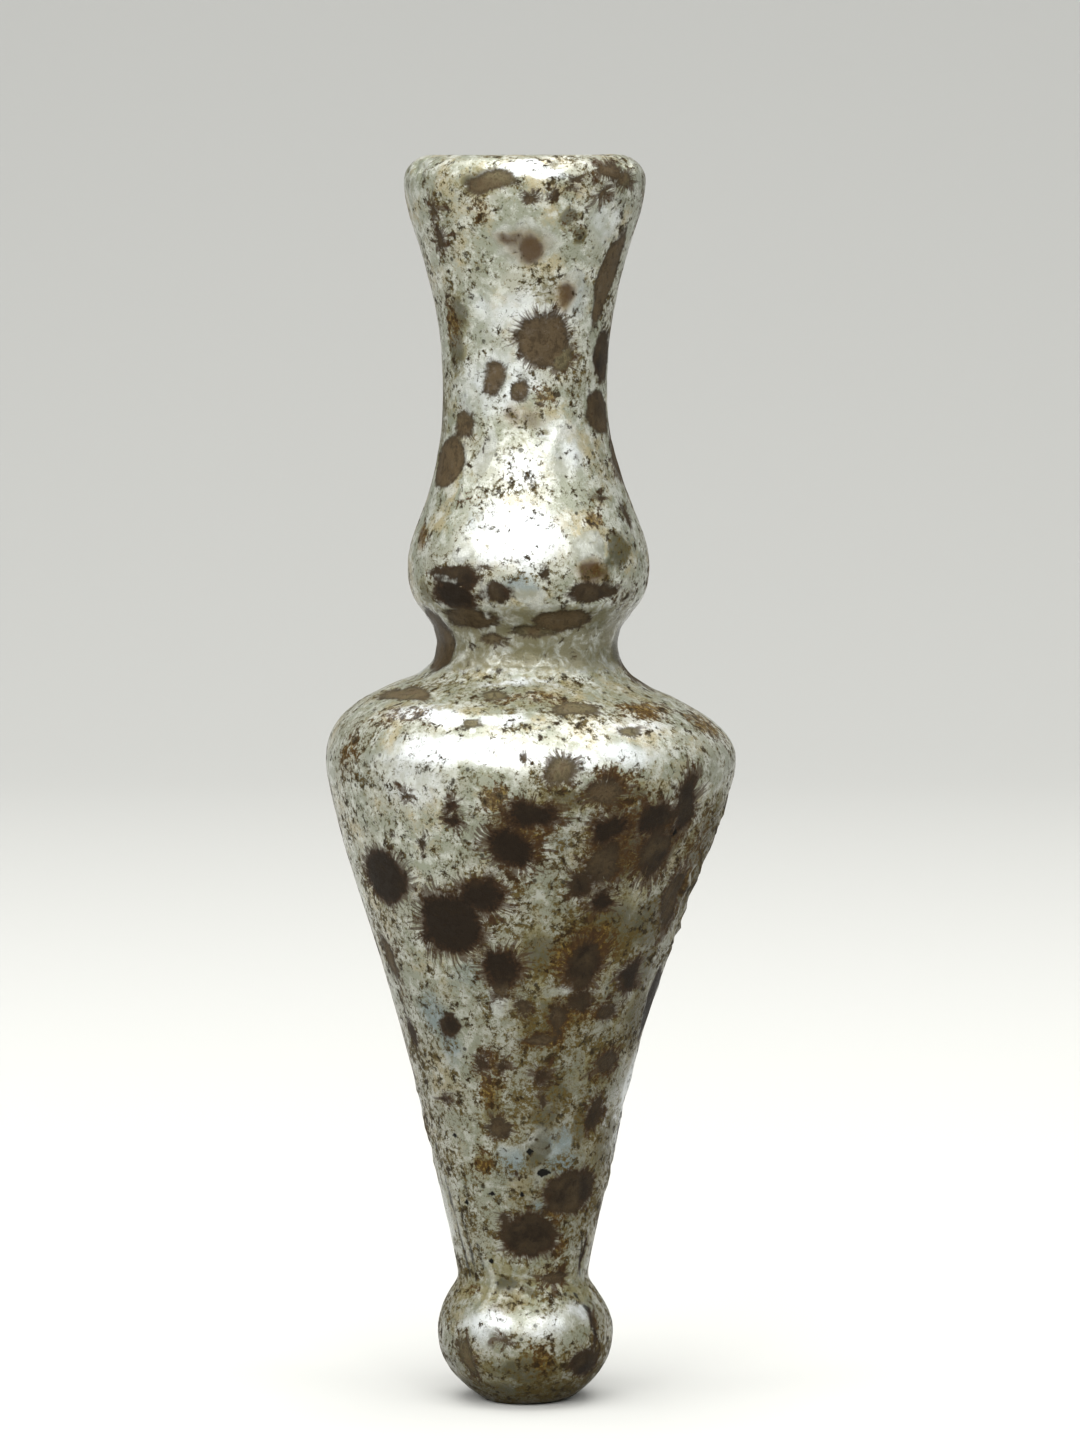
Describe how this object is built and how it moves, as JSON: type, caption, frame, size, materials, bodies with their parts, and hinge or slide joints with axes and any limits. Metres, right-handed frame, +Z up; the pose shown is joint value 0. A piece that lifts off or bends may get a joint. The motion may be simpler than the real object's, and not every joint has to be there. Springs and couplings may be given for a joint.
{
  "type": "ancient glass bottle",
  "caption": "Small hollow blown-glass bottle with a folded flaring rim, a ring-shaped bulge in its neck, a long tapering body and a foot knob, its surface weathered.",
  "frame": {"origin": "centre of the flat underside of the foot knob", "axes": "+Z up along the bottle, from the foot to the mouth; -Y towards whoever sees the pictured side; +X to that viewer's right"},
  "size_m": [0.0429, 0.0428, 0.13],
  "materials": {
    "weathered_glass": "opaque silvery weathering with brown pits, satin to glossy"
  },
  "bodies": {
    "root": {"bottle": "weathered_glass"}
  },
  "joints": []
}
